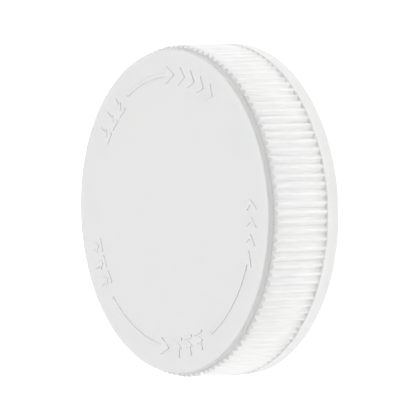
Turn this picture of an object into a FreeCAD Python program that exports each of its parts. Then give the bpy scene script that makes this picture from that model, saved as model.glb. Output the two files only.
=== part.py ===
"""A two-piece push-down-and-turn cap for a 70 mm jar neck.

The ribbed outer shell turns freely round a threaded inner cap. Ramped lugs under the shell's
top panel and on the inner cap's top come into mesh only while the shell is pushed down. A soft
liner disc lies inside the inner cap and seals on the jar.

The origin is at the centre of the open rim, the cap stands on its rim and +Z is up. The sizes
build outwards from the neck bore and upwards from the rim.
"""
import FreeCAD, Part
import Sketcher
import math
import os

SHEET = "Sizes"

# Driving dimensions, in millimetres unless the note says otherwise
SIZES = (
    ("neck_bore_diameter", 69.4, "inside wall of the inner cap, where the jar's thread runs"),
    ("neck_depth", 10.6, "room for the neck, from the inner cap's foot to the liner"),
    ("inner_wall", 1.0, "inner cap's skirt at its top"),
    ("inner_draft", 0.2, "inner cap's skirt leans out by this at its foot"),
    ("inner_top", 1.3, "inner cap's top panel"),
    ("inner_edge", 0.6, "chamfer of the inner cap's upper edge"),
    ("mouth_chamfer", 0.4, "lead-in at the inner cap's mouth"),
    ("liner_thickness", 1.0, "sealing liner"),
    ("liner_lip", 0.25, "liner reaches this far over the neck bore's edge, which holds it"),
    ("liner_side_gap", 0.15, "liner's edge to its pocket"),
    ("liner_face_gap", 0.1, "liner to the pocket's floor and to its lip"),
    ("running_gap", 0.35, "inner cap to the shell's bore, on the radius"),
    ("seat_gap", 0.1, "inner cap's foot to the retaining bead at rest"),
    ("bead_foot", 0.4, "height at which the retaining bead starts"),
    ("bead_rise", 1.0, "height of the retaining bead"),
    ("bead_land", 0.35, "crest of the bead, along the wall"),
    ("bead_back", 0.1, "fall of the bead's upper side"),
    ("bead_bite", 0.4, "bead reaches this far under the inner cap"),
    ("shell_wall", 0.9, "shell's skirt from its bore to the shoulder"),
    ("shell_top", 1.3, "shell's top panel"),
    ("shell_draft", 0.45, "shell's skirt leans out by this at its foot"),
    ("shell_corner", 0.6, "chamfer inside the shell, under the top panel"),
    ("shoulder_drop", 1.8, "plain shoulder above the ribs"),
    ("shoulder_inset", 0.05, "shoulder inside the bottoms of the grooves"),
    ("shoulder_lean", 1.0, "shoulder leans in towards the top, in degrees"),
    ("shoulder_round", 0.45, "round of the upper edge"),
    ("crown_width", 2.0, "outer part of the top face that falls away"),
    ("crown_drop", 0.15, "how far it falls"),
    ("rib_count", 120, "grip ribs round the skirt, a number"),
    ("groove_depth", 0.8, "V groove between two ribs"),
    ("groove_width", 1.6, "V groove across the rib crests"),
    ("rib_end_fall", 0.65, "fall of the ribs' sloping upper ends"),
    ("groove_end_rise", 0.25, "rise of the grooves' sloping lower ends"),
    ("band_height", 3.35, "plain band at the rim"),
    ("band_step", 0.1, "band stands out from the rib crests"),
    ("rim_chamfer", 0.35, "outer edge of the rim"),
    ("lug_count", 12, "drive lugs on each piece, a number"),
    ("lug_height", 1.5, "drive lug"),
    ("lug_rest_gap", 0.3, "lug tips of the two pieces apart at rest"),
    ("lug_start", 28.0, "inner end of the lugs, from the axis"),
    ("lug_length", 5.6, "lug along the radius"),
    ("lug_width", 5.4, "lug at its root, from flank to flank"),
    ("lug_tip", 2.0, "flat tip of a lug"),
    ("lug_root", 0.3, "lug sunk into its panel"),
)

# Sizes that follow from the driving ones
DERIVED = (
    ("neck_bore", "neck_bore_diameter / 2"),
    ("inner_radius_top", "neck_bore + inner_wall"),
    ("inner_radius_foot", "inner_radius_top + inner_draft"),
    ("shell_bore_top", "inner_radius_top + running_gap"),
    ("shell_bore_foot", "shell_bore_top + shell_draft"),
    ("shoulder_radius", "shell_bore_top + shell_wall"),
    ("root_radius_top", "shoulder_radius + shoulder_inset"),
    ("crest_radius_top", "root_radius_top + groove_depth"),
    ("root_radius_foot", "root_radius_top + shell_draft"),
    ("crest_radius_foot", "crest_radius_top + shell_draft"),
    ("rim_radius", "crest_radius_foot + band_step"),
    ("groove_floor", "rim_radius - root_radius_foot"),
    ("foot_stretch", "sqrt(1 + (groove_end_rise / groove_floor) ^ 2)"),
    ("bead_radius", "inner_radius_foot - bead_bite"),
    ("bead_top", "bead_foot + bead_rise"),
    ("inner_foot", "bead_top + seat_gap"),
    ("liner_base", "inner_foot + neck_depth"),
    ("liner_radius", "neck_bore + liner_lip"),
    ("pocket_radius", "liner_radius + liner_side_gap"),
    ("pocket_foot", "liner_base - liner_face_gap"),
    ("inner_ceiling", "liner_base + liner_thickness + liner_face_gap"),
    ("inner_head", "inner_ceiling + inner_top"),
    ("shell_ceiling", "inner_head + 2 * lug_height + lug_rest_gap"),
    ("shell_height", "shell_ceiling + shell_top"),
    ("rib_top", "shell_height - shoulder_drop"),
    ("crown_edge", "shell_height - crown_drop"),
    ("crown_lean", "crown_drop / sqrt(crown_width ^ 2 + crown_drop ^ 2)"),
    ("lean_sine", "sin(shoulder_lean * 1 deg)"),
    ("lean_cosine", "cos(shoulder_lean * 1 deg)"),
    ("round_foot", "crown_edge - shoulder_round * (sqrt(1 - crown_lean ^ 2) - lean_sine)"),
    ("round_radius", "shoulder_radius - (round_foot - rib_top) * lean_sine / lean_cosine"),
    ("round_centre", "round_radius - shoulder_round * lean_cosine"),
    ("crown_end", "round_centre + shoulder_round * crown_lean"),
    ("crown_radius", "crown_end - crown_width"),
)

# A groove's cutter is this many times as deep as the groove, so that it clears the crests
CUTTER_REACH = 2.0


def make_sheet(doc):
    """Write the driving and the derived sizes, each with its own alias."""
    sheet = doc.addObject("Spreadsheet::Sheet", SHEET)
    for row, (alias, value, note) in enumerate(SIZES, start=1):
        sheet.set(f"A{row}", alias)
        sheet.set(f"B{row}", str(value))
        sheet.set(f"C{row}", note)
        sheet.setAlias(f"B{row}", alias)
    for row, (alias, formula) in enumerate(DERIVED, start=len(SIZES) + 1):
        sheet.set(f"A{row}", alias)
        sheet.set(f"B{row}", "=" + formula)
        sheet.setAlias(f"B{row}", alias)
    doc.recompute()
    return sheet


def origin_item(body, role):
    """One of the body's own origin planes or axes."""
    return next(item for item in body.Origin.OriginFeatures if item.Role == role)


def value(thing, formula):
    """What an expression gives now, as a plain number."""
    return float(thing.evalExpression(formula))


def arc_between(start, end, centre):
    """The arc from start to end, anticlockwise round the centre."""
    first = math.atan2(start.y - centre.y, start.x - centre.x)
    last = math.atan2(end.y - centre.y, end.x - centre.x)
    circle = Part.Circle(centre, FreeCAD.Vector(0, 0, 1), (start - centre).Length)
    return Part.ArcOfCircle(circle, first, last)


def make_outline(body, name, role, corners, arcs=None):
    """A closed sketch whose corners follow pairs of expressions.

    A side is straight, or an arc where arcs gives its centre under its first corner's place
    in the list.
    """
    arcs = arcs or {}
    sketch = body.newObject("Sketcher::SketchObject", name)
    sketch.AttachmentSupport = (origin_item(body, role), [""])
    sketch.MapMode = "FlatFace"
    places = [point(sketch, corner) for corner in corners]
    count = len(places)
    for index in range(count):
        start = places[index]
        end = places[(index + 1) % count]
        if index in arcs:
            side = arc_between(start, end, point(sketch, arcs[index]))
        else:
            side = Part.LineSegment(start, end)
        sketch.addGeometry(side, False)
    for index in range(count):
        following = (index + 1) % count
        sketch.addConstraint(Sketcher.Constraint("Coincident", index, 2, following, 1))
    for index, (across, up) in enumerate(corners):
        hold(sketch, "DistanceX", index, 1, across)
        hold(sketch, "DistanceY", index, 1, up)
    for index, (across, up) in arcs.items():
        hold(sketch, "DistanceX", index, 3, across)
    return sketch


def point(sketch, pair):
    return FreeCAD.Vector(value(sketch, pair[0]), value(sketch, pair[1]), 0)


def hold(sketch, kind, side, end, formula):
    """Keep one coordinate of a side's end or centre at what the expression gives.

    The end is 1 or 2 for the side's first or last point and 3 for an arc's centre.
    """
    start = value(sketch, formula)
    row = sketch.addConstraint(Sketcher.Constraint(kind, -1, 1, side, end, start))
    sketch.setExpression(f"Constraints[{row}]", formula)


def revolve(body, name, sketch):
    """Turn an outline drawn as radius and height once round the upright axis."""
    feature = body.newObject("PartDesign::Revolution", name)
    feature.Profile = sketch
    feature.ReferenceAxis = (sketch, ["V_Axis"])
    feature.Angle = 360
    body.Document.recompute()
    return feature


def ring_edges(shape, radius, height):
    """The full circles of a shape that have this radius and lie at this height."""
    names = []
    for index, edge in enumerate(shape.Edges, start=1):
        if not isinstance(edge.Curve, Part.Circle):
            continue
        same_radius = abs(edge.Curve.Radius - radius) < 1e-4
        same_height = abs(edge.Curve.Center.z - height) < 1e-4
        if same_radius and same_height:
            names.append(f"Edge{index}")
    return names


def chamfer_ring(body, name, size, radius, height):
    """Chamfer the ring edge at a radius and a height, all given as sheet sizes."""
    base = body.Tip
    feature = body.newObject("PartDesign::Chamfer", name)
    edges = ring_edges(base.Shape, value(body, radius), value(body, height))
    feature.Base = (base, edges)
    feature.setExpression("Size", size)
    body.Document.recompute()
    return feature


def repeat_round(body, name, feature, count):
    """Repeat a feature evenly round the upright axis."""
    pattern = body.newObject("PartDesign::PolarPattern", name)
    pattern.Originals = [feature]
    pattern.Axis = (origin_item(body, "Z_Axis"), [""])
    pattern.Angle = 360
    pattern.setExpression("Occurrences", count)
    body.Tip = pattern
    body.Document.recompute()
    return pattern


def add_lugs(body, corners, turn):
    """Drive lugs round a panel: a section across the radius, drawn out along the radius."""
    sketch = make_outline(body, "LugSection", "YZ_Plane", corners)
    upright = FreeCAD.Rotation(FreeCAD.Vector(0, 1, 0), 1)
    sketch.AttachmentOffset = FreeCAD.Placement(FreeCAD.Vector(), upright)
    sketch.setExpression("AttachmentOffset.Rotation.Angle", f"{turn} * 1 deg")
    sketch.setExpression("AttachmentOffset.Base.x", f"Sizes.lug_start * sin({turn} * 1 deg)")
    sketch.setExpression("AttachmentOffset.Base.z", f"Sizes.lug_start * cos({turn} * 1 deg)")
    pad = body.newObject("PartDesign::Pad", "Lug")
    pad.Profile = sketch
    pad.setExpression("Length", "Sizes.lug_length")
    body.Document.recompute()
    return repeat_round(body, "LugRing", pad, "Sizes.lug_count")


def groove_corners(root, stretch):
    """A V groove's section, its point at the given place along the sketch's first axis."""
    reach = f"{CUTTER_REACH} * Sizes.groove_depth * {stretch}"
    side = f"Sizes.groove_width / 2 * {CUTTER_REACH}"
    return (
        (root, "0"),
        (f"{root} + {reach}", side),
        (f"{root} + {reach}", f"-{side}"),
    )


def cut_grooves(body):
    """V grooves from the band up to the shoulder leave the grip ribs standing.

    The lower section leans, so that each groove ends on a slope that starts at the band's edge.
    """
    low = make_outline(body, "GrooveFoot", "XY_Plane",
                       groove_corners("-Sizes.groove_floor * Sizes.foot_stretch", "Sizes.foot_stretch"))
    low.AttachmentOffset = FreeCAD.Placement(FreeCAD.Vector(), FreeCAD.Rotation(FreeCAD.Vector(0, 1, 0), 1))
    low.setExpression("AttachmentOffset.Rotation.Angle", "atan(Sizes.groove_end_rise / Sizes.groove_floor)")
    low.setExpression("AttachmentOffset.Base.x", "Sizes.rim_radius")
    low.setExpression("AttachmentOffset.Base.z", "Sizes.band_height")
    high = make_outline(body, "GrooveHead", "XY_Plane", groove_corners("Sizes.root_radius_top", "1"))
    high.setExpression("AttachmentOffset.Base.z", "Sizes.rib_top")
    groove = body.newObject("PartDesign::SubtractiveLoft", "RibGroove")
    groove.Profile = low
    groove.Sections = [(high, [""])]
    groove.Ruled = True
    body.Document.recompute()
    return repeat_round(body, "Ribs", groove, "Sizes.rib_count")


def make_outer_shell(doc):
    """The ribbed shell: top panel, shoulder, grip ribs, rim band, retaining bead and lugs."""
    body = doc.addObject("PartDesign::Body", "OuterShell")
    body.Label = "outer_shell"
    outline = make_outline(body, "ShellSection", "XZ_Plane", (
        ("Sizes.shell_bore_foot", "0"),
        ("Sizes.rim_radius", "0"),
        ("Sizes.rim_radius", "Sizes.band_height"),
        ("Sizes.crest_radius_foot", "Sizes.band_height"),
        ("Sizes.crest_radius_top", "Sizes.rib_top - Sizes.rib_end_fall"),
        ("Sizes.shoulder_radius", "Sizes.rib_top"),
        ("Sizes.round_radius", "Sizes.round_foot"),
        ("Sizes.crown_end", "Sizes.crown_edge"),
        ("Sizes.crown_radius", "Sizes.shell_height"),
        ("0", "Sizes.shell_height"),
        ("0", "Sizes.shell_ceiling"),
        ("Sizes.shell_bore_top", "Sizes.shell_ceiling"),
        ("Sizes.shell_bore_foot", "Sizes.bead_top"),
        ("Sizes.bead_radius", "Sizes.bead_top - Sizes.bead_back"),
        ("Sizes.bead_radius", "Sizes.bead_top - Sizes.bead_back - Sizes.bead_land"),
        ("Sizes.shell_bore_foot", "Sizes.bead_foot"),
    ), arcs={6: ("Sizes.round_centre", "Sizes.round_foot")})
    revolve(body, "ShellTurned", outline)
    chamfer_ring(body, "RimChamfer", "Sizes.rim_chamfer", "Sizes.rim_radius", "0")
    chamfer_ring(body, "ShellCorner", "Sizes.shell_corner", "Sizes.shell_bore_top", "Sizes.shell_ceiling")
    add_lugs(body, (
        ("-Sizes.lug_width / 2", "Sizes.shell_ceiling + Sizes.lug_root"),
        ("-Sizes.lug_width / 2", "Sizes.shell_ceiling - Sizes.lug_height"),
        ("-Sizes.lug_width / 2 + Sizes.lug_tip", "Sizes.shell_ceiling - Sizes.lug_height"),
        ("Sizes.lug_width / 2", "Sizes.shell_ceiling"),
        ("Sizes.lug_width / 2", "Sizes.shell_ceiling + Sizes.lug_root"),
    ), "0")
    cut_grooves(body)
    return body


def make_inner_cap(doc):
    """The inner cap: a skirt for the jar's thread and lugs that face the shell's, half a step on."""
    body = doc.addObject("PartDesign::Body", "InnerCap")
    body.Label = "inner_cap"
    outline = make_outline(body, "CapSection", "XZ_Plane", (
        ("Sizes.neck_bore", "Sizes.inner_foot"),
        ("Sizes.inner_radius_foot", "Sizes.inner_foot"),
        ("Sizes.inner_radius_top", "Sizes.inner_head"),
        ("0", "Sizes.inner_head"),
        ("0", "Sizes.inner_ceiling"),
        ("Sizes.pocket_radius", "Sizes.inner_ceiling"),
        ("Sizes.pocket_radius", "Sizes.pocket_foot"),
        ("Sizes.neck_bore", "Sizes.pocket_foot"),
    ))
    revolve(body, "CapTurned", outline)
    chamfer_ring(body, "CapEdge", "Sizes.inner_edge", "Sizes.inner_radius_top", "Sizes.inner_head")
    chamfer_ring(body, "CapMouth", "Sizes.mouth_chamfer", "Sizes.neck_bore", "Sizes.inner_foot")
    add_lugs(body, (
        ("Sizes.lug_width / 2", "Sizes.inner_head - Sizes.lug_root"),
        ("Sizes.lug_width / 2", "Sizes.inner_head + Sizes.lug_height"),
        ("Sizes.lug_width / 2 - Sizes.lug_tip", "Sizes.inner_head + Sizes.lug_height"),
        ("-Sizes.lug_width / 2", "Sizes.inner_head"),
        ("-Sizes.lug_width / 2", "Sizes.inner_head - Sizes.lug_root"),
    ), "(180 / Sizes.lug_count)")
    return body


def make_liner(doc):
    """The sealing disc in the pocket under the inner cap's panel."""
    disc = doc.addObject("Part::Cylinder", "Liner")
    disc.Label = "liner"
    disc.setExpression("Radius", "Sizes.liner_radius")
    disc.setExpression("Height", "Sizes.liner_thickness")
    disc.setExpression("Placement.Base.z", "Sizes.liner_base")
    return disc


def check_document(doc, pieces):
    """Stop before anything is written if a feature failed or a piece has no sound solid."""
    for item in doc.Objects:
        if "Invalid" in item.State or "Error" in item.State:
            raise RuntimeError(f"{item.Name} failed: {item.State}")
    for piece in pieces:
        shape = piece.Shape
        if shape.isNull() or not shape.isValid() or len(shape.Solids) != 1:
            raise RuntimeError(f"{piece.Label} is not one valid solid")


def write_pieces(pieces):
    os.makedirs("parts", exist_ok=True)
    for piece in pieces:
        piece.Shape.exportStep(f"parts/{piece.Label}.step")
        box = piece.Shape.BoundBox
        print(f"{piece.Label}: {piece.Shape.Volume:.1f} mm3, {len(piece.Shape.Faces)} faces, "
              f"{box.XLength:.2f} x {box.YLength:.2f} x {box.ZLength:.2f} mm from z {box.ZMin:.2f}")


def main():
    doc = FreeCAD.newDocument("PushAndTurnCap")
    make_sheet(doc)
    pieces = [make_outer_shell(doc), make_inner_cap(doc), make_liner(doc)]
    doc.recompute()
    check_document(doc, pieces)
    write_pieces(pieces)


main()
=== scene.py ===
"""Looks of a push-down-and-turn jar cap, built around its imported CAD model.

The file is laid out as a Blender add-on and is run as a script. The cap stands on its rim with
+Z up. Places in the scene are in metres. The meshes are shaped in millimetres, their profiles as
radius and height, and are brought to size at the end.
"""
import math

import bmesh
import bpy
from mathutils import Matrix, Vector


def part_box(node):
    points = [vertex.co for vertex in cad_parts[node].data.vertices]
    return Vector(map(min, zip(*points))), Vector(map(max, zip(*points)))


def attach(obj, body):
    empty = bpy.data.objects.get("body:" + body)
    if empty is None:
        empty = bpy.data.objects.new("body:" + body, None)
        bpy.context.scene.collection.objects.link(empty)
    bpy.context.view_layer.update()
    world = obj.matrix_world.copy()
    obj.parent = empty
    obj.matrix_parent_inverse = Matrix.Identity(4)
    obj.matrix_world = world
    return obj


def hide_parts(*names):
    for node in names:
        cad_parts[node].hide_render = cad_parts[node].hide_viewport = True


bl_info = {
    "name": "Push and Turn Cap",
    "version": (1, 0, 0),
    "blender": (4, 5, 0),
    "location": "View3D > Sidebar > Cap",
    "description": "Builds the finished look of a child-resistant jar cap around its CAD model",
    "category": "Add Mesh",
}

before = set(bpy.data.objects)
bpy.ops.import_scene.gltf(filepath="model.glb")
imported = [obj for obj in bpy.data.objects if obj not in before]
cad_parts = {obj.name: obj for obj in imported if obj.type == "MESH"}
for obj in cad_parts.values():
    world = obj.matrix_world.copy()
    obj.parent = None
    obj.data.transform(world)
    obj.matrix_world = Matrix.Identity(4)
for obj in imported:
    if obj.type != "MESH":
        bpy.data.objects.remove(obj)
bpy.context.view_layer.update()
SHELL_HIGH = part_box("outer_shell")[1]
CAP_LOW, CAP_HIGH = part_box("inner_cap")
LINER_LOW, LINER_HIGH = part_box("liner")

# A millimetre, in metres
MM = 0.001
TURN = 2 * math.pi
UP = Vector((0, 0, 1))
WHITE = (1, 1, 1)

# The flat middle of a panel, out to this radius, is one face
MIDDLE = 18.0

# Vertices that lie nearer together than this are merged
MERGE_GAP = 0.0004

# How far large faces lead the shading of the vertices that they share: 50 is not at all
EVEN_SHADING = 60

# The drive lugs are alike on the shell and on the inner cap, where they lie half a step round
LUG_COUNT = 12
LUG_RISE = 1.5
LUG_START = 28.0
LUG_LENGTH = 5.6
LUG_WIDTH = 5.4
LUG_TIP = 2.0
LUG_ROOT = 0.3
LUG_ROUND = 0.15

# The lit table: distance from the cap's axis, out to the reach, and share of the peak of the
# table's own light. The faint ring at the rim lights the band, the bright one the skirt and the
# upper part of the wall, whose foot the rib ends keep darker, and the wide one the whole side.
GLOW_PEAK = 4.2
GLOW_REACH = 0.25
GLOW_RINGS = (
    (0.0384, 0.22), (0.0394, 0.21),
    (0.0400, 0.14), (0.0468, 0.12),
    (0.0476, 1.0), (0.0508, 1.0),
    (0.0516, 0.38), (0.0556, 0.37), (0.0636, 0.12),
    (0.066, 0.32), (0.074, 0.32),
    (0.077, 0.085), (0.115, 0.08), (0.160, 0.08),
    (0.240, 0.15),
)

# Painted shade on the shoulder's corner, the rib ends and the crests, and painted light in the grooves
PAINTED_CORNER_SHADE = 0.80
PAINTED_RIB_END_SHADE = 0.89
PAINTED_CREST_SHADE = 0.945
PAINTED_GROOVE_LIGHT = 1.05
# Painted light that ribs and grooves both come near towards their upper ends, how near they come, and
# the height above the band from which they do
PAINTED_RIB_TOP_LIGHT = 1.06
PAINTED_RIB_TOP_SHARE = 0.8
PAINTED_RIB_TOP_START = 7.5

# The photograph's picture and camera: its width in pixels, the sensor's in millimetres, the place
# of the open rim's centre in pixels to the right of and below the picture's middle, the distance
# in radii of the rim, and the angles in degrees
PICTURE_WIDTH = 420
SENSOR_WIDTH = 36
RIM_RIGHT = 25.01
RIM_DOWN = -0.9485
CAMERA_DISTANCE = 14.4
CAMERA_TILT = 53.78
CAMERA_ROLL = -2.088
CAMERA_TURN = 0.37


class CapSizes(bpy.types.PropertyGroup):
    """Sizes of the cap that a user may change."""

    rib_count: bpy.props.IntProperty(
        name="Ribs", description="Grip ribs round the skirt", default=120, min=24, max=180)
    rib_turn: bpy.props.FloatProperty(
        name="Rib turn", description="Turns the ring of ribs about the axis",
        default=math.radians(1.5), unit="ROTATION")
    groove_depth: bpy.props.FloatProperty(
        name="Groove depth", description="Depth of the V groove between two ribs",
        default=0.8 * MM, unit="LENGTH", precision=5)
    groove_width: bpy.props.FloatProperty(
        name="Groove width", description="Width of the V groove across the rib crests",
        default=1.6 * MM, unit="LENGTH", precision=5)
    rib_end_fall: bpy.props.FloatProperty(
        name="Rib end fall", description="Fall of the sloping upper ends of the ribs",
        default=0.65 * MM, unit="LENGTH", precision=5)
    groove_end_rise: bpy.props.FloatProperty(
        name="Groove end rise", description="Rise of the sloping lower ends of the grooves",
        default=0.25 * MM, unit="LENGTH", precision=5)
    band_height: bpy.props.FloatProperty(
        name="Band", description="Height of the plain band at the rim",
        default=3.35 * MM, unit="LENGTH", precision=5)
    shoulder_drop: bpy.props.FloatProperty(
        name="Shoulder", description="Height of the plain shoulder above the ribs",
        default=1.8 * MM, unit="LENGTH", precision=5)
    mark_rise: bpy.props.FloatProperty(
        name="Mark height", description="How far the marks stand above the top panel",
        default=0.18 * MM, unit="LENGTH", precision=5)
    thread_pitch: bpy.props.FloatProperty(
        name="Thread pitch", description="Rise of the jar thread in one turn",
        default=4.233 * MM, unit="LENGTH", precision=5)


class CapFinish(bpy.types.PropertyGroup):
    """Colours and gloss of the cap's materials."""

    shell_colour: bpy.props.FloatVectorProperty(
        name="Shell", description="Colour of the outer shell", subtype="COLOR", size=3,
        min=0, max=1, default=(0.925, 0.925, 0.918))
    inner_colour: bpy.props.FloatVectorProperty(
        name="Inner cap", description="Colour of the threaded inner cap", subtype="COLOR", size=3,
        min=0, max=1, default=(0.80, 0.80, 0.775))
    liner_colour: bpy.props.FloatVectorProperty(
        name="Liner", description="Colour of the foam liner", subtype="COLOR", size=3,
        min=0, max=1, default=(0.84, 0.84, 0.82))
    shell_roughness: bpy.props.FloatProperty(
        name="Shell roughness", description="Roughness of the satin outer shell",
        default=0.52, min=0, max=1, subtype="FACTOR")
    inner_roughness: bpy.props.FloatProperty(
        name="Inner cap roughness", description="Roughness of the inner cap",
        default=0.42, min=0, max=1, subtype="FACTOR")
    light_depth: bpy.props.FloatProperty(
        name="Light depth", description="How deep light spreads in the translucent shell",
        default=0.9 * MM, min=0, unit="LENGTH", precision=5)


class StageLight(bpy.types.PropertyGroup):
    """Studio light and camera."""

    key_power: bpy.props.FloatProperty(
        name="Overhead light", description="Power of the soft box straight over the cap",
        default=8.8, min=0, unit="POWER")
    back_power: bpy.props.FloatProperty(
        name="Back light", description="Power of the soft box high behind the cap",
        default=0.3, min=0, unit="POWER")
    floor_glow: bpy.props.FloatProperty(
        name="Table glow", description="Own light of the lit table, a factor on its rings",
        default=1.0, min=0)
    ambient: bpy.props.FloatProperty(
        name="Ambient", description="Strength of the even light of the room", default=0.0, min=0)
    lens: bpy.props.FloatProperty(
        name="Lens", description="Focal length of the camera", default=204.0, unit="CAMERA")


class Value:
    """A number in a shader, so that maths on it reads as plain Python."""

    def __init__(self, nodes, socket):
        self.nodes = nodes
        self.socket = socket

    def combine(self, operation, first, second):
        node = self.nodes.add("ShaderNodeMath", {"operation": operation}, {0: first, 1: second})
        return Value(self.nodes, node.outputs[0])

    def __add__(self, other):
        return self.combine("ADD", self, other)

    def __radd__(self, other):
        return self.combine("ADD", other, self)

    def __sub__(self, other):
        return self.combine("SUBTRACT", self, other)

    def __rsub__(self, other):
        return self.combine("SUBTRACT", other, self)

    def __mul__(self, other):
        return self.combine("MULTIPLY", self, other)

    def __rmul__(self, other):
        return self.combine("MULTIPLY", other, self)


class Finish:
    """A material's node tree, with one way to add a node."""

    def __init__(self, name):
        self.material = bpy.data.materials.new(name)
        self.material.use_nodes = True
        self.tree = self.material.node_tree
        self.tree.nodes.clear()

    def add(self, kind, settings=None, sockets=None):
        """A node of a type: its settings first, then the values or links of its sockets."""
        node = self.tree.nodes.new(kind)
        for key, setting in (settings or {}).items():
            setattr(node, key, setting)
        for key, entry in (sockets or {}).items():
            if isinstance(entry, Value):
                self.tree.links.new(entry.socket, node.inputs[key])
            elif isinstance(entry, bpy.types.NodeSocket):
                self.tree.links.new(entry, node.inputs[key])
            else:
                node.inputs[key].default_value = entry
        return node

    def place(self):
        """The object's own coordinates."""
        return self.add("ShaderNodeTexCoord").outputs["Object"]

    def height(self):
        """Height in the object's own coordinates."""
        return Value(self, self.add("ShaderNodeSeparateXYZ", sockets={0: self.place()}).outputs["Z"])

    def radius(self):
        """Distance from the cap's axis."""
        flat = self.add("ShaderNodeVectorMath", {"operation": "MULTIPLY"},
                        {0: self.place(), 1: (1, 1, 0)})
        return self.length(flat.outputs[0])

    def length(self, vector):
        node = self.add("ShaderNodeVectorMath", {"operation": "LENGTH"}, {0: vector})
        return Value(self, node.outputs["Value"])

    def noise(self, scale, detail):
        """Noise on the object's own coordinates, from 0 to 1."""
        node = self.add("ShaderNodeTexNoise",
                        sockets={"Vector": self.place(), "Scale": scale, "Detail": detail})
        return Value(self, node.outputs["Fac"])

    def rise(self, value, start, end):
        """A soft step from 0 to 1 as the value goes from the start to the end."""
        node = self.add("ShaderNodeMapRange", {"interpolation_type": "SMOOTHSTEP"},
                        {"Value": value, "From Min": start, "From Max": end})
        return Value(self, node.outputs["Result"])

    def between(self, factor, first, second):
        """A colour that runs from the first to the second as the factor goes from 0 to 1."""
        node = self.add("ShaderNodeMix", {"data_type": "RGBA"}, {0: factor, 6: first, 7: second})
        return node.outputs[2]

    def bump(self, height, distance, strength, under=None):
        """A normal that follows a height, laid over another one where one is given."""
        sockets = {"Height": height, "Distance": distance, "Strength": strength}
        if under is not None:
            sockets["Normal"] = under
        return self.add("ShaderNodeBump", sockets=sockets).outputs["Normal"]

    def surface(self, sockets):
        """The finished material."""
        shader = self.add("ShaderNodeBsdfPrincipled", sockets=sockets)
        self.add("ShaderNodeOutputMaterial", sockets={"Surface": shader.outputs[0]})
        return self.material


def shade(colour, factor):
    """A colour made lighter or darker, with its alpha."""
    return tuple(min(1.0, channel * factor) for channel in colour) + (1.0,)


def moulded_plastic(name, colour, roughness, depth, painted_light=None):
    """Satin polypropylene with a fine grain and slight mould waves.

    Light spreads in it to the depth. Where a function is given for painted light, it takes the finish and
    its base colour and returns that colour with painted light and shade in it.
    """
    finish = Finish(name)
    cloud = finish.noise(scale=55, detail=3)
    grain = finish.noise(scale=4200, detail=2)
    wave = finish.noise(scale=130, detail=2)
    base = finish.between(cloud, shade(colour, 0.985), shade(colour, 1.015))
    if painted_light:
        base = painted_light(finish, base)
    rough = roughness - 0.05 + 0.06 * cloud + 0.05 * grain
    broad = finish.bump(wave, distance=0.00010, strength=0.10)
    fine = finish.bump(grain, distance=0.000012, strength=0.35, under=broad)
    return finish.surface({
        "Base Color": base, "Roughness": rough, "Normal": fine,
        "IOR": 1.49, "Specular IOR Level": 0.35,
        "Subsurface Weight": 0.8 if depth else 0.0, "Subsurface Radius": (1.0, 0.98, 0.94),
        "Subsurface Scale": depth,
    })


def foam_sheet(name, colour):
    """Soft foamed polyethylene: fine closed cells under a dull skin."""
    finish = Finish(name)
    cells = finish.add("ShaderNodeTexVoronoi", {"feature": "SMOOTH_F1"},
                       {"Vector": finish.place(), "Scale": 2600, "Smoothness": 0.6})
    cell = Value(finish, cells.outputs["Distance"])
    cloud = finish.noise(scale=160, detail=3)
    base = finish.between(cloud, shade(colour, 0.97), shade(colour, 1.02))
    rough = 0.68 + 0.1 * cell
    normal = finish.bump(cell + 0.4 * cloud, distance=0.00003, strength=0.4)
    return finish.surface({"Base Color": base, "Roughness": rough, "Normal": normal, "IOR": 1.45})


def lit_floor(name, glow):
    """A pale matt table, lit from under its top in rings round the cap."""
    finish = Finish(name)
    cloud = finish.noise(scale=3, detail=2)
    base = finish.between(cloud, shade(WHITE, 0.80), shade(WHITE, 0.82))
    share = finish.length(finish.place()) * (1 / GLOW_REACH)
    ramp = finish.add("ShaderNodeValToRGB", sockets={"Fac": share})
    stops = ramp.color_ramp.elements
    for stop, (radius, level) in ((stops[0], GLOW_RINGS[0]), (stops[1], GLOW_RINGS[-1])):
        stop.position = radius / GLOW_REACH
        stop.color = shade(WHITE, level)
    for radius, level in GLOW_RINGS[1:-1]:
        stop = stops.new(radius / GLOW_REACH)
        stop.color = shade(WHITE, level)
    return finish.surface({
        "Base Color": base, "Roughness": 0.9, "Emission Color": ramp.outputs["Color"],
        "Emission Strength": GLOW_PEAK * glow,
    })


def draw_profile(bm, corners, closed=False):
    """A chain of edges through corners given as radius, height, round and segments of the round."""
    verts = [bm.verts.new((radius, 0, height)) for radius, height, _, _ in corners]
    for first, second in zip(verts, verts[1:]):
        bm.edges.new((first, second))
    if closed:
        bm.edges.new((verts[-1], verts[0]))
    for vert, (_, _, size, segments) in zip(verts, corners):
        if size:
            bmesh.ops.bevel(bm, geom=[vert], offset=size, offset_type="OFFSET", segments=segments,
                            profile=0.5, affect="VERTICES", material=-1, clamp_overlap=True)


def everything(bm):
    """All vertices, edges and faces."""
    return bm.verts[:] + bm.edges[:] + bm.faces[:]


def only_verts(items):
    """The vertices among vertices, edges and faces."""
    return [item for item in items if isinstance(item, bmesh.types.BMVert)]


def turn_about(bm, angle):
    """Turn everything about the axis."""
    turned = Matrix.Rotation(angle, 3, "Z")
    bmesh.ops.rotate(bm, cent=(0, 0, 0), matrix=turned, verts=bm.verts[:])


def turn_strip(bm, geometry, angle, steps=1, rise=0.0):
    """Sweep edges about the axis and return the last row."""
    result = bmesh.ops.spin(bm, geom=geometry, cent=(0, 0, 0), axis=(0, 0, 1), dvec=(0, 0, rise),
                            angle=angle, steps=steps, use_merge=False, use_duplicate=False)
    return result["geom_last"]


def turn_round(bm, steps):
    """Sweep everything a full turn about the axis."""
    bmesh.ops.spin(bm, geom=everything(bm), cent=(0, 0, 0), axis=(0, 0, 1), dvec=(0, 0, 0),
                   angle=TURN, steps=steps, use_merge=True, use_duplicate=False)


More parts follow.
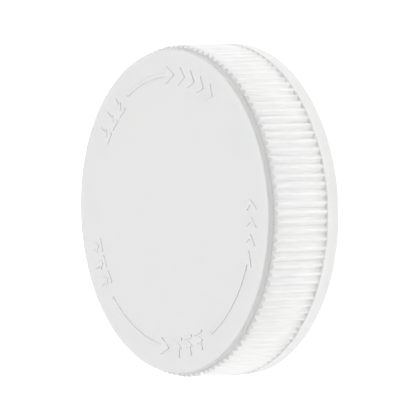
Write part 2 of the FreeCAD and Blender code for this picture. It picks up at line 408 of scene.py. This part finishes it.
def copy_round(bm, copies):
    """Repeat everything about the axis."""
    step = TURN / copies
    bmesh.ops.spin(bm, geom=everything(bm), cent=(0, 0, 0), axis=(0, 0, 1), dvec=(0, 0, 0),
                   angle=step * (copies - 1), steps=copies - 1, use_merge=False, use_duplicate=True)


def round_edges(bm, edges, size):
    """Bevel edges by a size, in two steps."""
    bmesh.ops.bevel(bm, geom=edges, offset=size, offset_type="OFFSET", segments=2, profile=0.5,
                    affect="EDGES", material=-1, clamp_overlap=True)


def close_up(bm):
    """Merge what meets, close the open rings and point every face outwards."""
    bmesh.ops.remove_doubles(bm, verts=bm.verts[:], dist=MERGE_GAP)
    rims = [edge for edge in bm.edges if edge.is_boundary]
    if rims:
        bmesh.ops.holes_fill(bm, edges=rims, sides=0)
    bmesh.ops.recalc_face_normals(bm, faces=bm.faces[:])


def join_in(bm, other):
    """Add another bmesh to this one and free it."""
    mesh = bpy.data.meshes.new("part")
    other.to_mesh(mesh)
    other.free()
    bm.from_mesh(mesh)
    bpy.data.meshes.remove(mesh)


def finish_piece(bm, name, material, body, nodes=()):
    """Bring a mesh from millimetres to size, make it an object and hang it on its body."""
    bmesh.ops.scale(bm, vec=(MM, MM, MM), verts=bm.verts[:])
    for face in bm.faces:
        face.smooth = True
    mesh = bpy.data.meshes.new(name)
    bm.to_mesh(mesh)
    bm.free()
    mesh.materials.append(material)
    piece = bpy.data.objects.new(name, mesh)
    bpy.context.scene.collection.objects.link(piece)
    weighted = piece.modifiers.new("Even shading", "WEIGHTED_NORMAL")
    weighted.weight = EVEN_SHADING
    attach(piece, body)
    if nodes:
        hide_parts(*nodes)


def lug_ring(bm, panel, facing, turn):
    """Drive lugs on a panel, drawn as a section across the radius and swept outwards.

    Each has an upright flank and a ramp. They point down where facing is 1 and up where it is -1.
    """
    upright = -LUG_WIDTH / 2
    ramp_foot = LUG_WIDTH / 2
    section = (
        (upright, -LUG_ROOT), (upright, LUG_RISE), (upright + LUG_TIP, LUG_RISE),
        (ramp_foot, 0), (ramp_foot, -LUG_ROOT),
    )
    lug = bmesh.new()
    verts = [lug.verts.new((LUG_START, facing * across, panel - facing * up)) for across, up in section]
    out = bmesh.ops.extrude_face_region(lug, geom=[lug.faces.new(verts)])
    bmesh.ops.translate(lug, vec=(LUG_LENGTH, 0, 0), verts=only_verts(out["geom"]))
    close_up(lug)
    round_edges(lug, lug.edges[:], LUG_ROUND)
    turn_about(lug, turn)
    copy_round(lug, LUG_COUNT)
    join_in(bm, lug)


class CAP_OT_shell(bpy.types.Operator):
    """Build the ribbed outer shell"""

    bl_idname = "cap.build_shell"
    bl_label = "Outer Shell"

    # Thickness of the panel and of the skirt at its shoulder
    panel_wall = 1.3
    skirt_wall = 0.9
    # How much narrower the skirt is at its top, outside and inside
    skirt_draft = 0.45
    # How far the band stands out from the crests, and the height of the slope between them
    band_step = 0.1
    band_slope = 0.12
    # How far the groove floors stand out from the shoulder's wall
    groove_clear = 0.05
    # Radius at which the panel starts to fall, how far it falls and the lean of the wall below
    panel_edge = 34.9
    edge_fall = 0.10
    wall_lean = math.radians(1)
    # Length of the fillet where the shoulder meets the rib ends, along each of the two
    foot_round = 0.3
    # The bead that holds the inner cap: its radius, and the heights where it starts, reaches that
    # radius, leaves it and ends
    bead_radius = 35.5
    bead_heights = (0.4, 0.95, 1.3, 1.4)
    # How much smaller the rounds at a rib's upper and lower ends get at the floor of a groove
    end_shrink = 0.9
    foot_shrink = 0.5

    def execute(self, context):
        sizes = context.scene.cap_sizes
        finish = context.scene.cap_finish
        self.measure(sizes)
        self.colour = finish.shell_colour
        bm = bmesh.new()
        self.outline(bm)
        self.shape_rib(bm, sizes)
        turn_about(bm, sizes.rib_turn)
        copy_round(bm, sizes.rib_count)
        close_up(bm)
        lug_ring(bm, self.ceiling, 1, 0.0)
        # The shell's base colour carries painted light and shade over the ribs and the shoulder
        plastic = moulded_plastic("shell plastic", finish.shell_colour, finish.shell_roughness,
                                  finish.light_depth, self.paint_light_and_shade)
        finish_piece(bm, "ribbed_shell", plastic, "outer_shell", ["outer_shell"])
        return {"FINISHED"}

    def measure(self, sizes):
        """Work out the radii and heights of the profile."""
        height = SHELL_HIGH.z / MM
        self.rim = SHELL_HIGH.x / MM
        self.band = sizes.band_height / MM
        self.land = self.band + self.band_slope
        self.depth = sizes.groove_depth / MM
        self.top = height - sizes.mark_rise / MM
        self.head = self.top - self.edge_fall
        self.ceiling = height - self.panel_wall
        self.rib_top = height - sizes.shoulder_drop / MM
        self.tip = self.rib_top - sizes.rib_end_fall / MM
        self.crest_foot = self.rim - self.band_step
        self.crest_top = self.crest_foot - self.skirt_draft
        self.wall = self.crest_top - self.depth - self.groove_clear
        self.end_slope = (self.rib_top - self.tip) / (self.crest_top - self.wall)
        self.bore_top = self.wall - self.skirt_wall
        self.bore_foot = self.bore_top + self.skirt_draft

    def outline(self, bm):
        """Draw the section through a rib crest, from the panel's top round the rim to its underside."""
        shoulder = self.wall - (self.head - self.rib_top) * math.tan(self.wall_lean)
        bead_start, bead_full, bead_past, bead_end = self.bead_heights
        draw_profile(bm, (
            (MIDDLE, self.top, 0, 0),
            (self.panel_edge, self.top, 1.3, 5),
            (shoulder, self.head, 0.42, 7),
            (self.wall, self.rib_top, self.foot_round, 4),
            (self.crest_top, self.tip, 0.16, 3),
            (self.crest_foot - 0.004, self.land, 0.07, 2),
            (self.rim, self.band, 0.07, 2),
            (self.rim, 0.0, 0.38, 5),
            (self.bore_foot, 0.0, 0.25, 3),
            (self.bore_foot, bead_start, 0.12, 2),
            (self.bead_radius, bead_full, 0.14, 3),
            (self.bead_radius, bead_past, 0.1, 3),
            (self.bore_foot - 0.02, bead_end, 0, 0),
            (self.bore_top, self.ceiling, 0.6, 5),
            (MIDDLE, self.ceiling, 0, 0),
        ))

    def shape_rib(self, bm, sizes):
        """Sweep the profile over one rib, then press the grooves in on both sides of it."""
        pitch = TURN / sizes.rib_count
        crest = pitch / 2 - sizes.groove_width / MM / 2 / self.crest_top
        groove = pitch / 2 - crest
        # Angle of each row, and its share of the groove's depth
        shares = (
            (-pitch / 2, 0.97), (-crest - 0.88 * groove, 0.88), (-crest - 0.10 * groove, 0.10),
            (-0.8 * crest, 0.0), (0.8 * crest, 0.0), (crest + 0.10 * groove, 0.10),
            (crest + 0.88 * groove, 0.88), (pitch / 2, 0.97),
        )
        turn_about(bm, shares[0][0])
        row = bm.verts[:] + bm.edges[:]
        rows = [only_verts(row)]
        for (angle, _), (following, _) in zip(shares, shares[1:]):
            row = turn_strip(bm, row, following - angle)
            rows.append(only_verts(row))
        for (angle, share), verts in zip(shares, rows):
            if share:
                self.press_groove([vert for vert in verts if self.on_rib(vert.co)], angle, share, sizes)

    def on_rib(self, place):
        """True from the slope above the band to the fillet under the shoulder, on the outside."""
        outside = place.to_2d().length >= self.wall - 0.001
        return outside and self.land - 0.1 < place.z < self.rib_top + self.foot_round

    def press_groove(self, verts, angle, share, sizes):
        """Move a row of the profile inwards, with its ends along their slopes."""
        outward = Vector((math.cos(angle), math.sin(angle), 0))
        inwards = outward * self.depth * share
        foot_depth = self.rim - (self.crest_foot - self.depth)
        foot_slope = sizes.groove_end_rise / MM / foot_depth
        for vert in verts:
            if vert.co.z > (self.tip + self.land) / 2:
                centre = outward * self.crest_top + UP * self.tip
                goal = centre - inwards + UP * self.depth * share * self.end_slope
                shrink = 1 - self.end_shrink * share
            else:
                centre = outward * self.crest_foot + UP * self.land
                goal = centre - inwards + UP * (foot_depth * share * foot_slope)
                shrink = 1 - self.foot_shrink * share
            vert.co = goal + (vert.co - centre) * shrink

    def paint_light_and_shade(self, nodes, base):
        """Painted light in the grooves and up the skirt, painted shade on the crests, the rib ends and the
        shoulder's wall.
        """

        def tone(factor):
            return shade(self.colour, factor)

        def rise(value, start, end):
            return nodes.rise(value, start * MM, end * MM)

        height = nodes.height()
        radius = nodes.radius()
        skirt_slope = (self.crest_foot - self.crest_top) / (self.tip - self.band)
        upright = radius + (height - self.band * MM) * skirt_slope
        # Painted light on the groove floors and painted shade on the crests
        crest = rise(upright, self.crest_foot - self.depth, self.crest_foot - 0.1)
        ribs = nodes.between(crest, tone(PAINTED_GROOVE_LIGHT), tone(PAINTED_CREST_SHADE))
        # Painted light over ribs and grooves towards their upper ends
        upper = PAINTED_RIB_TOP_SHARE * rise(height, self.band + PAINTED_RIB_TOP_START, self.tip)
        ribs = nodes.between(upper, ribs, tone(PAINTED_RIB_TOP_LIGHT))
        ribbed = rise(height, self.band - 0.1, self.band + 0.3) * (1 - rise(height, self.tip, self.rib_top))
        outside = rise(radius, self.bore_foot, self.wall - 0.1)
        base = nodes.between(ribbed * outside, base, ribs)
        # Painted shade on the sloping rib ends, fading towards the foot of the wall
        along_end = height + self.end_slope * (radius - self.wall * MM)
        sloping = rise(along_end, self.rib_top - 0.12, self.rib_top)
        sloping = sloping * (1 - rise(height, self.rib_top - 0.3, self.rib_top + 0.1))
        base = nodes.between(sloping, base, tone(PAINTED_RIB_END_SHADE))
        # Painted shade on the shoulder's wall, between the rib tops and the panel's edge
        painted_corner = rise(height, self.rib_top, self.rib_top + 0.8)
        painted_corner = painted_corner * (1 - rise(height, self.head - 0.3, self.head))
        return nodes.between(painted_corner, base, tone(PAINTED_CORNER_SHADE))


class CAP_OT_marks(bpy.types.Operator):
    """Raise the press and turn marks on the top panel"""

    bl_idname = "cap.build_marks"
    bl_label = "Raised Marks"

    # Bearings in degrees from +X: the press marks, the starts and ends of the curved arrows, and the
    # chevrons that point backwards (-1) and onwards (1) round the ring
    press_bearings = (53, 45, 37, 105, 113, 121, 184, 192, 200)
    arrow_bearings = ((29, -2), (130, 172), (209, 248))
    chevron_bearings = {-1: (-13, -20, -27, -34), 1: (258, 265, 272)}
    # How far the marks stay under the CAD model's top and reach into the panel, and their round
    top_clear = 0.01
    sink = 0.2
    brim = 0.09
    # Radii between which the stroke of a curved arrow lies, and how far it stays under its head
    arrow_inner = 30.6
    arrow_outer = 31.4
    arrow_drop = 0.02

    def execute(self, context):
        sizes = context.scene.cap_sizes
        finish = context.scene.cap_finish
        self.top = SHELL_HIGH.z / MM - self.top_clear
        self.foot = (SHELL_HIGH.z - sizes.mark_rise) / MM - self.sink
        bm = bmesh.new()
        for bearing in self.press_bearings:
            self.press_mark(bm, bearing)
        for start, end in self.arrow_bearings:
            self.turn_arrow(bm, start, end)
        for way, bearings in self.chevron_bearings.items():
            for bearing in bearings:
                self.chevron(bm, bearing, way)
        bmesh.ops.recalc_face_normals(bm, faces=bm.faces[:])
        plastic = moulded_plastic("mark plastic", finish.shell_colour, finish.shell_roughness, 0.0)
        finish_piece(bm, "raised_marks", plastic, "outer_shell")
        return {"FINISHED"}

    def press_mark(self, bm, bearing):
        """An arrow that points at the cap's middle and ends over a short bar."""
        self.raise_outline(bm, bearing, (
            (33.2, 0.35), (31.3, 0.35), (31.3, 1.25), (29.9, 0.0),
            (31.3, -1.25), (31.3, -0.35), (33.2, -0.35),
        ))
        self.raise_outline(bm, bearing, ((29.4, 1.55), (28.75, 1.55), (28.75, -1.55), (29.4, -1.55)))

    def chevron(self, bm, bearing, way):
        """A bent stroke that points along the ring."""
        self.raise_outline(bm, bearing, (
            (33.1, -1.1 * way), (31.0, 1.1 * way), (28.9, -1.1 * way), (29.8, -1.1 * way),
            (31.0, 0.1 * way), (32.2, -1.1 * way),
        ))

    def turn_arrow(self, bm, start, end):
        """A curved arrow from one bearing to another, in degrees, with a head at its end."""
        way = 1 if end > start else -1
        face = self.top - self.arrow_drop
        arrow = bmesh.new()
        draw_profile(arrow, (
            (self.arrow_inner, self.foot, 0, 0), (self.arrow_inner, face, 0.06, 2),
            (self.arrow_outer, face, 0.06, 2), (self.arrow_outer, self.foot, 0, 0),
        ), closed=True)
        turn_about(arrow, math.radians(start))
        turn_strip(arrow, everything(arrow), math.radians(end - start), abs(end - start))
        close_up(arrow)
        join_in(bm, arrow)
        self.raise_outline(bm, end, ((33.0, -0.2 * way), (31.0, 2.9 * way), (29.0, -0.2 * way)))

    def raise_outline(self, bm, bearing, corners):
        """Raise a flat outline, given as radius and distance along the ring, out of the panel."""
        mark = bmesh.new()
        face = mark.faces.new([mark.verts.new((radius, along, self.foot)) for radius, along in corners])
        out = bmesh.ops.extrude_face_region(mark, geom=[face])
        bmesh.ops.translate(mark, vec=(0, 0, self.top - self.foot), verts=only_verts(out["geom"]))
        brims = [item for item in out["geom"] if isinstance(item, bmesh.types.BMEdge)]
        round_edges(mark, brims, self.brim)
        turn_about(mark, math.radians(bearing))
        bmesh.ops.recalc_face_normals(mark, faces=mark.faces[:])
        join_in(bm, mark)


class CAP_OT_inner(bpy.types.Operator):
    """Build the threaded inner cap"""

    bl_idname = "cap.build_inner_cap"
    bl_label = "Inner Cap"

    # Radii of the skirt outside, of the bore and of the liner's pocket, and the skirt's flare
    skirt_radius = 35.7
    bore = 34.7
    pocket_radius = 35.1
    flare = 0.2
    # Thickness of the panel and depth of the liner's pocket
    panel_wall = 1.3
    pocket_depth = 1.2
    # Steps of the full turn
    segments = 288
    # The thread: how far its root lies in the wall, how high it stands, half its width at the root
    # and at the tip, the height of its start above the foot, and its length in turns
    thread_sink = 0.15
    thread_rise = 1.0
    root_half = 1.3
    tip_half = 0.45
    thread_start = 2.6
    thread_turns = 1.3
    steps_per_turn = 144
    # Part of a turn over which each end of the thread fades into the wall
    fade_turns = 1 / 12

    def execute(self, context):
        sizes = context.scene.cap_sizes
        finish = context.scene.cap_finish
        foot = CAP_LOW.z / MM
        head = CAP_HIGH.z / MM - LUG_RISE
        ceiling = head - self.panel_wall
        pocket = ceiling - self.pocket_depth
        bm = bmesh.new()
        draw_profile(bm, (
            (MIDDLE, head, 0, 0),
            (self.skirt_radius, head, 0.6, 4),
            (self.skirt_radius + self.flare, foot, 0.2, 2),
            (self.bore, foot, 0.4, 4),
            (self.bore, pocket, 0.08, 2),
            (self.pocket_radius, pocket, 0, 0),
            (self.pocket_radius, ceiling, 0.1, 2),
            (MIDDLE, ceiling, 0, 0),
        ))
        turn_round(bm, self.segments)
        close_up(bm)
        self.add_thread(bm, sizes, foot)
        lug_ring(bm, head, -1, TURN / LUG_COUNT / 2)
        plastic = moulded_plastic("inner plastic", finish.inner_colour, finish.inner_roughness, 0.0)
        finish_piece(bm, "threaded_inner_cap", plastic, "inner_cap", ["inner_cap"])
        return {"FINISHED"}

    def add_thread(self, bm, sizes, foot):
        """One start of a right-handed thread ridge whose ends fade into the wall."""
        pitch = sizes.thread_pitch / MM
        root = self.bore + self.thread_sink
        tip = self.bore - self.thread_rise
        thread = bmesh.new()
        draw_profile(thread, (
            (root, -self.root_half, 0, 0), (tip, -self.tip_half, 0.2, 3),
            (tip, self.tip_half, 0.2, 3), (root, self.root_half, 0, 0),
        ), closed=True)
        bmesh.ops.translate(thread, vec=(0, 0, foot + self.thread_start), verts=thread.verts[:])
        steps = round(self.steps_per_turn * self.thread_turns)
        row = thread.verts[:] + thread.edges[:]
        rows = [only_verts(row)]
        for _ in range(steps):
            row = turn_strip(thread, row, TURN / self.steps_per_turn, 1, pitch / self.steps_per_turn)
            rows.append(only_verts(row))
        fade = round(self.steps_per_turn * self.fade_turns)
        for step, verts in enumerate(rows):
            near = min(step, steps - step)
            share = 0.5 - 0.5 * math.cos(math.pi * min(1.0, near / fade))
            for vert in verts:
                radius = vert.co.to_2d().length
                wanted = root + (radius - root) * share
                vert.co.x *= wanted / radius
                vert.co.y *= wanted / radius
        close_up(thread)
        join_in(bm, thread)


class CAP_OT_liner(bpy.types.Operator):
    """Build the sealing liner"""

    bl_idname = "cap.build_liner"
    bl_label = "Liner"

    # Radius of the flat middle
    middle = 12.0
    # How far the underside stays clear of the CAD model's, and the groove that the jar's neck has
    # pressed: its radii, the length of its sloping sides and its depth from the CAD model's underside
    clear = 0.02
    groove_outer = 33.9
    groove_inner = 31.9
    groove_side = 0.3
    groove_floor = 0.10
    # Steps of the full turn
    segments = 192

    def execute(self, context):
        finish = context.scene.cap_finish
        high = LINER_HIGH.z / MM
        under = LINER_LOW.z / MM + self.clear
        floor = LINER_LOW.z / MM + self.groove_floor
        edge = LINER_HIGH.x / MM
        bm = bmesh.new()
        draw_profile(bm, (
            (self.middle, high, 0, 0),
            (edge, high, 0.12, 2),
            (edge, under, 0.12, 2),
            (self.groove_outer, under, 0.3, 3),
            (self.groove_outer - self.groove_side, floor, 0.1, 2),
            (self.groove_inner + self.groove_side, floor, 0.1, 2),
            (self.groove_inner, under, 0.3, 3),
            (self.middle, under, 0, 0),
        ))
        turn_round(bm, self.segments)
        close_up(bm)
        foam = foam_sheet("liner foam", finish.liner_colour)
        finish_piece(bm, "foam_liner", foam, "liner", ["liner"])
        return {"FINISHED"}


class CAP_OT_stage(bpy.types.Operator):
    """Set up the floor, the lights and the camera"""

    bl_idname = "cap.build_stage"
    bl_label = "Stage"

    # Metres: half the side of the floor and how far it lies under the rim, width of the soft boxes,
    # their places and the height that they face
    floor_half = 4.0
    floor_drop = 0.0001
    box_width = 0.5
    overhead_place = (0.0, 0.0, 1.0)
    back_place = (0.0, 0.6, 0.5)
    aim_height = 0.01

    def execute(self, context):
        stage = context.scene.cap_stage
        self.floor(stage)
        self.lights(context, stage)
        self.camera(context, stage)
        context.scene.view_settings.view_transform = "Standard"
        return {"FINISHED"}

    def floor(self, stage):
        """Lay the lit table."""
        bm = bmesh.new()
        bmesh.ops.create_grid(bm, x_segments=2, y_segments=2, size=self.floor_half)
        bmesh.ops.translate(bm, vec=(0, 0, -self.floor_drop), verts=bm.verts[:])
        mesh = bpy.data.meshes.new("floor")
        bm.to_mesh(mesh)
        bm.free()
        mesh.materials.append(lit_floor("pale floor", stage.floor_glow))
        floor = bpy.data.objects.new("floor", mesh)
        bpy.context.scene.collection.objects.link(floor)

    def lights(self, context, stage):
        """Set the room's even light and the two soft boxes."""
        world = bpy.data.worlds.new("room")
        world.use_nodes = True
        background = world.node_tree.nodes["Background"]
        background.inputs["Color"].default_value = (1, 1, 1, 1)
        background.inputs["Strength"].default_value = stage.ambient
        context.scene.world = world
        self.soft_box("overhead", self.overhead_place, stage.key_power)
        self.soft_box("back", self.back_place, stage.back_power)

    def soft_box(self, name, place, power):
        """A round soft box that faces the cap."""
        light = bpy.data.lights.new(name, "AREA")
        light.shape = "DISK"
        light.size = self.box_width
        light.energy = power
        lamp = bpy.data.objects.new(name, light)
        lamp.location = place
        aim = Vector(place) - Vector((0, 0, self.aim_height))
        lamp.rotation_euler = aim.to_track_quat("Z", "Y").to_euler()
        bpy.context.scene.collection.objects.link(lamp)

    def camera(self, context, stage):
        """The photograph's view: from the front, 36 degrees up, with the picture turned on its side."""
        tilt = math.radians(CAMERA_TILT)
        roll = math.radians(CAMERA_ROLL)
        turned_by = Matrix.Rotation(math.radians(CAMERA_TURN), 4, "Z")
        distance = CAMERA_DISTANCE * SHELL_HIGH.x
        ahead = Vector((0, math.sin(tilt), -math.cos(tilt)))
        far = Vector((0, math.cos(tilt), math.sin(tilt)))
        across = Vector((1, 0, 0))
        right = across * math.sin(roll) - far * math.cos(roll)
        down = -across * math.cos(roll) - far * math.sin(roll)
        # What one pixel covers at the cap's distance
        pixel = distance / (stage.lens / SENSOR_WIDTH * PICTURE_WIDTH)
        place = -(right * RIM_RIGHT * pixel + down * RIM_DOWN * pixel + ahead * distance)
        data = bpy.data.cameras.new("camera")
        data.sensor_width = SENSOR_WIDTH
        data.lens = stage.lens
        data.clip_start = 0.01
        camera = bpy.data.objects.new("camera", data)
        turned = Matrix((right, -down, -ahead)).transposed()
        camera.matrix_world = turned_by @ Matrix.Translation(place) @ turned.to_4x4()
        context.scene.collection.objects.link(camera)
        context.scene.camera = camera


class CAP_PT_build(bpy.types.Panel):
    """Lists the cap's pieces and their sizes"""

    bl_idname = "CAP_PT_build"
    bl_label = "Push and Turn Cap"
    bl_space_type = "VIEW_3D"
    bl_region_type = "UI"
    bl_category = "Cap"

    def draw(self, context):
        layout = self.layout
        for group in (context.scene.cap_sizes, context.scene.cap_finish, context.scene.cap_stage):
            column = layout.column(align=True)
            for key in group.__annotations__:
                column.prop(group, key)
        for operator in BUILDERS:
            layout.operator(operator.bl_idname)


GROUPS = (CapSizes, CapFinish, StageLight)
BUILDERS = (CAP_OT_shell, CAP_OT_marks, CAP_OT_inner, CAP_OT_liner, CAP_OT_stage)


def register():
    for item in GROUPS + BUILDERS + (CAP_PT_build,):
        bpy.utils.register_class(item)
    bpy.types.Scene.cap_sizes = bpy.props.PointerProperty(type=CapSizes)
    bpy.types.Scene.cap_finish = bpy.props.PointerProperty(type=CapFinish)
    bpy.types.Scene.cap_stage = bpy.props.PointerProperty(type=StageLight)


def unregister():
    del bpy.types.Scene.cap_stage
    del bpy.types.Scene.cap_finish
    del bpy.types.Scene.cap_sizes
    for item in reversed(GROUPS + BUILDERS + (CAP_PT_build,)):
        bpy.utils.unregister_class(item)


def main():
    register()
    bpy.ops.cap.build_shell()
    bpy.ops.cap.build_marks()
    bpy.ops.cap.build_inner_cap()
    bpy.ops.cap.build_liner()
    bpy.ops.cap.build_stage()


if __name__ == "__main__":
    main()
